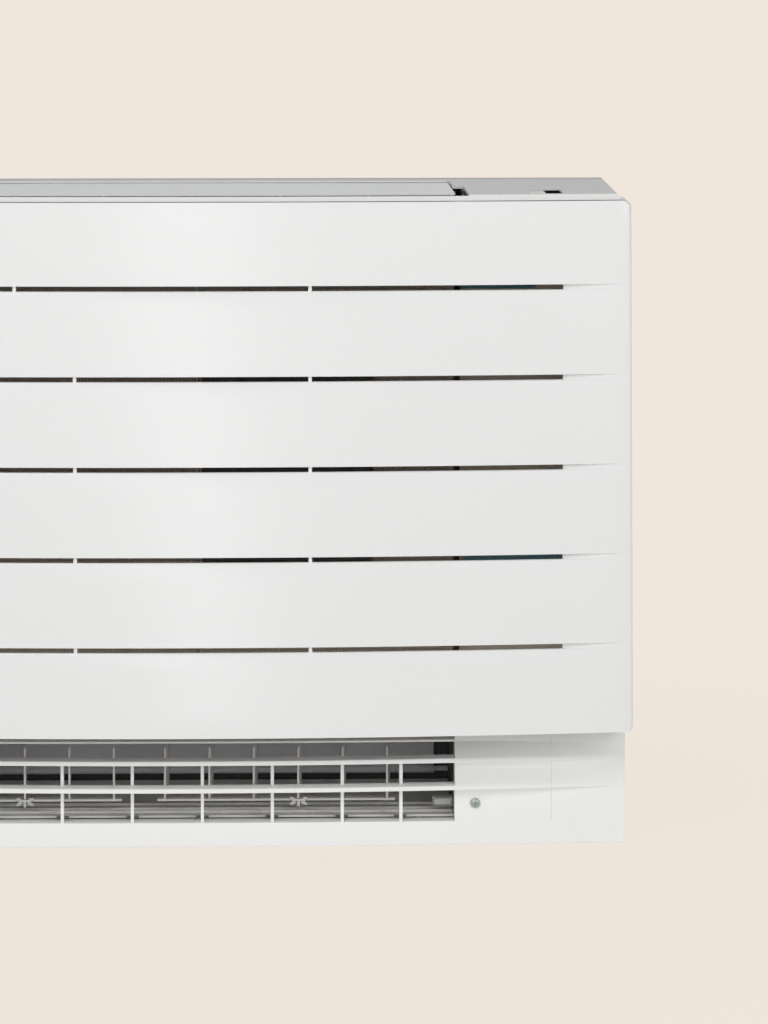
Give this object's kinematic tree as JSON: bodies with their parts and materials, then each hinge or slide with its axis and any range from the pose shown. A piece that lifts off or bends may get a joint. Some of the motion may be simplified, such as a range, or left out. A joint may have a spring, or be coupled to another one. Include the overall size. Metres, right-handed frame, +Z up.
{
  "type": "floor standing air conditioner",
  "caption": "Low floor standing indoor air conditioner: bowed white front of slats and air slots, top flap over an upper outlet, vaned lower outlet above the base.",
  "frame": {"origin": "on the floor, middle of the footprint's bounding box", "axes": "+X to the right seen from the front, +Y to the back (the wall), +Z up; the front faces -Y"},
  "size_m": [0.8, 0.238, 0.6],
  "materials": {
    "white_plastic": "satin white moulded plastic",
    "top_plastic": "fine textured light grey-white plastic",
    "duct_grey": "matt grey duct plastic",
    "dark_plastic": "matt dark plastic",
    "galvanised_steel": "dull zinc coated sheet",
    "copper": "drawn copper, lightly dulled",
    "screw_zinc": "zinc plated",
    "fan_plastic": "moulded off-white plastic",
    "bright_steel": "bright turned steel",
    "motor_steel": "grey painted metal",
    "fin_aluminium": "dull coated fins",
    "filter_plastic": "dark grey frame and mesh",
    "cassette_black": "black honeycomb",
    "blue_green_plastic": "blue-green moulded covers",
    "board_green": "green circuit board",
    "display_black": "clear black window"
  },
  "bodies": {
    "casing": {"rear_chassis": "dark_plastic", "front_casing": "top_plastic", "lower_front_grille": "white_plastic", "end_cover_left": "white_plastic", "end_cover_right": "white_plastic", "base_screw_left": "screw_zinc", "base_screw_right": "screw_zinc", "fan_housing": "duct_grey", "air_guide": "duct_grey", "fan_motor": "motor_steel", "fin_coil": "fin_aluminium", "tube_plate_left": "copper", "tube_plate_right": "copper", "drain_pan": "dark_plastic", "gas_pipe": "copper", "liquid_pipe": "copper", "air_filter_left": "filter_plastic", "air_filter_right": "filter_plastic", "deodorising_cassette": "cassette_black", "electronics_box": "galvanised_steel", "electronics_cover": "galvanised_steel", "cable_cover": "blue_green_plastic", "terminal_cover": "blue_green_plastic", "control_board": "board_green", "terminal_block": "dark_plastic", "lower_duct_floor": "top_plastic", "lower_vane_carrier": "duct_grey", "damper_motor": "motor_steel", "flap_motor": "motor_steel", "upper_vane_carrier": "duct_grey", "display_window": "display_black"},
    "panel": {"front_panel": "white_plastic"},
    "flap": {"top_flap": "top_plastic"},
    "button": {"on_off_button": "white_plastic"},
    "damper": {"lower_damper": "duct_grey"},
    "fan": {"fan_impeller": "fan_plastic", "fan_shaft": "bright_steel", "fan_nut": "bright_steel"},
    "lower_bar_left": {"lower_tie_bar_left": "top_plastic"},
    "lower_bar_right": {"lower_tie_bar_right": "top_plastic"},
    "upper_bar_left": {"upper_tie_bar_left": "top_plastic"},
    "upper_bar_right": {"upper_tie_bar_right": "top_plastic"},
    "lower_vane_1": {"lower_vane_1": "top_plastic"},
    "lower_vane_2": {"lower_vane_2": "top_plastic"},
    "lower_vane_3": {"lower_vane_3": "top_plastic"},
    "lower_vane_4": {"lower_vane_4": "top_plastic"},
    "lower_vane_5": {"lower_vane_5": "top_plastic"},
    "lower_vane_6": {"lower_vane_6": "top_plastic"},
    "lower_vane_7": {"lower_vane_7": "top_plastic"},
    "lower_vane_8": {"lower_vane_8": "top_plastic"},
    "lower_vane_9": {"lower_vane_9": "top_plastic"},
    "lower_vane_10": {"lower_vane_10": "top_plastic"},
    "upper_vane_1": {"upper_vane_1": "top_plastic"},
    "upper_vane_2": {"upper_vane_2": "top_plastic"},
    "upper_vane_3": {"upper_vane_3": "top_plastic"},
    "upper_vane_4": {"upper_vane_4": "top_plastic"},
    "upper_vane_5": {"upper_vane_5": "top_plastic"},
    "upper_vane_6": {"upper_vane_6": "top_plastic"},
    "upper_vane_7": {"upper_vane_7": "top_plastic"},
    "upper_vane_8": {"upper_vane_8": "top_plastic"}
  },
  "joints": [
    {"name": "panel_hinge", "type": "hinge", "parent": "casing", "child": "panel", "pos_m": [0, -0.052, 0.114], "axis": [1, 0, 0], "range_deg": [0, 28]},
    {"name": "flap_hinge", "type": "hinge", "parent": "casing", "child": "flap", "pos_m": [0, 0.073, 0.5937], "axis": [-1, 0, 0], "range_deg": [0, 60]},
    {"name": "button_press", "type": "slide", "parent": "casing", "child": "button", "axis": [0, 0, -1], "range_m": [0, 0.001], "stiffness_N_per_m": 600, "springref_m": -0.001},
    {"name": "damper_hinge", "type": "hinge", "parent": "casing", "child": "damper", "pos_m": [0, 0.084, 0.046], "axis": [1, 0, 0], "range_deg": [0, 52]},
    {"name": "fan_spin", "type": "hinge", "parent": "casing", "child": "fan", "pos_m": [0, 0.03, 0.337], "axis": [0, 1, 0], "continuous": true},
    {"name": "lower_vane_1_turn", "type": "hinge", "parent": "casing", "child": "lower_vane_1", "pos_m": [-0.1958, -0.004, 0.09], "axis": [0, 0, 1], "range_deg": [-30, 30]},
    {"name": "lower_vane_2_turn", "type": "hinge", "parent": "casing", "child": "lower_vane_2", "pos_m": [-0.1549, -0.004, 0.09], "axis": [0, 0, 1], "range_deg": [-30, 30]},
    {"name": "lower_vane_3_turn", "type": "hinge", "parent": "casing", "child": "lower_vane_3", "pos_m": [-0.114, -0.004, 0.09], "axis": [0, 0, 1], "range_deg": [-30, 30]},
    {"name": "lower_vane_4_turn", "type": "hinge", "parent": "casing", "child": "lower_vane_4", "pos_m": [-0.0731, -0.004, 0.09], "axis": [0, 0, 1], "range_deg": [-30, 30]},
    {"name": "lower_vane_5_turn", "type": "hinge", "parent": "casing", "child": "lower_vane_5", "pos_m": [-0.0245, -0.004, 0.09], "axis": [0, 0, 1], "range_deg": [-25, 35]},
    {"name": "lower_vane_6_turn", "type": "hinge", "parent": "casing", "child": "lower_vane_6", "pos_m": [0.0164, -0.004, 0.09], "axis": [0, 0, 1], "range_deg": [-25, 35]},
    {"name": "lower_vane_7_turn", "type": "hinge", "parent": "casing", "child": "lower_vane_7", "pos_m": [0.0573, -0.004, 0.09], "axis": [0, 0, 1], "range_deg": [-25, 35]},
    {"name": "lower_vane_8_turn", "type": "hinge", "parent": "casing", "child": "lower_vane_8", "pos_m": [0.0982, -0.004, 0.09], "axis": [0, 0, 1], "range_deg": [-25, 35]},
    {"name": "lower_vane_9_turn", "type": "hinge", "parent": "casing", "child": "lower_vane_9", "pos_m": [0.1391, -0.004, 0.09], "axis": [0, 0, 1], "range_deg": [-25, 35]},
    {"name": "lower_vane_10_turn", "type": "hinge", "parent": "casing", "child": "lower_vane_10", "pos_m": [0.18, -0.004, 0.09], "axis": [0, 0, 1], "range_deg": [-25, 35]},
    {"name": "lower_bar_left_slide", "type": "slide", "parent": "casing", "child": "lower_bar_left", "axis": [1, 0, 0], "range_m": [-0.00801, 0.00801]},
    {"name": "lower_bar_right_slide", "type": "slide", "parent": "casing", "child": "lower_bar_right", "axis": [1, 0, 0], "range_m": [-0.00668, 0.00934]},
    {"name": "upper_vane_1_turn", "type": "hinge", "parent": "casing", "child": "upper_vane_1", "pos_m": [-0.21, 0.063, 0.56], "axis": [0, 1, 0], "range_deg": [-30, 30]},
    {"name": "upper_vane_2_turn", "type": "hinge", "parent": "casing", "child": "upper_vane_2", "pos_m": [-0.15, 0.063, 0.56], "axis": [0, 1, 0], "range_deg": [-30, 30]},
    {"name": "upper_vane_3_turn", "type": "hinge", "parent": "casing", "child": "upper_vane_3", "pos_m": [-0.09, 0.063, 0.56], "axis": [0, 1, 0], "range_deg": [-30, 30]},
    {"name": "upper_vane_4_turn", "type": "hinge", "parent": "casing", "child": "upper_vane_4", "pos_m": [-0.03, 0.063, 0.56], "axis": [0, 1, 0], "range_deg": [-30, 30]},
    {"name": "upper_vane_5_turn", "type": "hinge", "parent": "casing", "child": "upper_vane_5", "pos_m": [0.03, 0.063, 0.56], "axis": [0, 1, 0], "range_deg": [-30, 30]},
    {"name": "upper_vane_6_turn", "type": "hinge", "parent": "casing", "child": "upper_vane_6", "pos_m": [0.09, 0.063, 0.56], "axis": [0, 1, 0], "range_deg": [-30, 30]},
    {"name": "upper_vane_7_turn", "type": "hinge", "parent": "casing", "child": "upper_vane_7", "pos_m": [0.15, 0.063, 0.56], "axis": [0, 1, 0], "range_deg": [-30, 30]},
    {"name": "upper_vane_8_turn", "type": "hinge", "parent": "casing", "child": "upper_vane_8", "pos_m": [0.21, 0.063, 0.56], "axis": [0, 1, 0], "range_deg": [-30, 30]},
    {"name": "upper_bar_left_slide", "type": "slide", "parent": "casing", "child": "upper_bar_left", "axis": [1, 0, 0], "range_m": [-0.00901, 0.00901]},
    {"name": "upper_bar_right_slide", "type": "slide", "parent": "casing", "child": "upper_bar_right", "axis": [1, 0, 0], "range_m": [-0.00901, 0.00901]}
  ],
  "couplings": [
    {"joint": "lower_vane_2_turn", "follows": "lower_vane_1_turn", "ratio": 1},
    {"joint": "lower_vane_3_turn", "follows": "lower_vane_1_turn", "ratio": 1},
    {"joint": "lower_vane_4_turn", "follows": "lower_vane_1_turn", "ratio": 1},
    {"joint": "lower_vane_6_turn", "follows": "lower_vane_5_turn", "ratio": 1},
    {"joint": "lower_vane_7_turn", "follows": "lower_vane_5_turn", "ratio": 1},
    {"joint": "lower_vane_8_turn", "follows": "lower_vane_5_turn", "ratio": 1},
    {"joint": "lower_vane_9_turn", "follows": "lower_vane_5_turn", "ratio": 1},
    {"joint": "lower_vane_10_turn", "follows": "lower_vane_5_turn", "ratio": 1},
    {"joint": "lower_bar_left_slide", "follows": "lower_vane_1_turn", "m_per_rad": 0.01528},
    {"joint": "lower_bar_right_slide", "follows": "lower_vane_5_turn", "m_per_rad": 0.01528},
    {"joint": "upper_vane_2_turn", "follows": "upper_vane_1_turn", "ratio": 1},
    {"joint": "upper_vane_3_turn", "follows": "upper_vane_1_turn", "ratio": 1},
    {"joint": "upper_vane_4_turn", "follows": "upper_vane_1_turn", "ratio": 1},
    {"joint": "upper_vane_6_turn", "follows": "upper_vane_5_turn", "ratio": 1},
    {"joint": "upper_vane_7_turn", "follows": "upper_vane_5_turn", "ratio": 1},
    {"joint": "upper_vane_8_turn", "follows": "upper_vane_5_turn", "ratio": 1},
    {"joint": "upper_bar_left_slide", "follows": "upper_vane_1_turn", "m_per_rad": 0.01719},
    {"joint": "upper_bar_right_slide", "follows": "upper_vane_5_turn", "m_per_rad": 0.01719}
  ]
}
